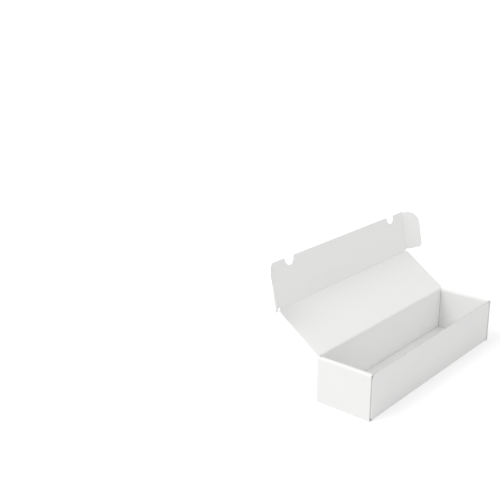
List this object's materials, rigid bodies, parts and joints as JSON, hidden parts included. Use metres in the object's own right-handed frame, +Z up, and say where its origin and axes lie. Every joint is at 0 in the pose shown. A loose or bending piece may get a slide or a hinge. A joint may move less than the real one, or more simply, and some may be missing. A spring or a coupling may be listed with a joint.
{
  "type": "card storage box",
  "caption": "Long corrugated storage box for a row of cards: double-walled ends, a lid hinged at the back, and a front flap with finger notches and tuck-in ears.",
  "frame": {"origin": "centre of the underside of the bottom panel", "axes": "+X along the box to its right end, +Y from the front wall to the back wall where the lid is hinged, +Z up"},
  "size_m": [0.467, 0.201, 0.2187],
  "materials": {
    "white_board": "matt white-lined corrugated board, white on both faces"
  },
  "bodies": {
    "box": {"bottom_panel": "white_board", "front_wall": "white_board", "back_wall": "white_board", "left_end_outer_panel": "white_board", "left_end_roll_over": "white_board", "left_end_inner_panel": "white_board", "left_front_corner_flap": "white_board", "left_back_corner_flap": "white_board", "right_end_outer_panel": "white_board", "right_end_roll_over": "white_board", "right_end_inner_panel": "white_board", "right_front_corner_flap": "white_board", "right_back_corner_flap": "white_board"},
    "lid": {"lid_panel": "white_board"},
    "front_flap": {"lid_front_flap": "white_board"},
    "left_ear": {"left_ear": "white_board"},
    "right_ear": {"right_ear": "white_board"}
  },
  "joints": [
    {"name": "lid_hinge", "type": "hinge", "parent": "box", "child": "lid", "pos_m": [0, 0.0501, 0.0812], "axis": [1, 0, 0], "range_deg": [-35, 145]},
    {"name": "front_flap_hinge", "type": "hinge", "parent": "lid", "child": "front_flap", "pos_m": [0, 0.13398, 0.13993], "axis": [1, 0, 0], "range_deg": [-44, 46]},
    {"name": "left_ear_hinge", "type": "hinge", "parent": "front_flap", "child": "left_ear", "pos_m": [-0.204, 0.13398, 0.13993], "axis": [0, 0.1908, 0.9816], "range_deg": [-34, 56]},
    {"name": "right_ear_hinge", "type": "hinge", "parent": "front_flap", "child": "right_ear", "pos_m": [0.204, 0.13398, 0.13993], "axis": [0, -0.1908, -0.9816], "range_deg": [-34, 56]}
  ]
}
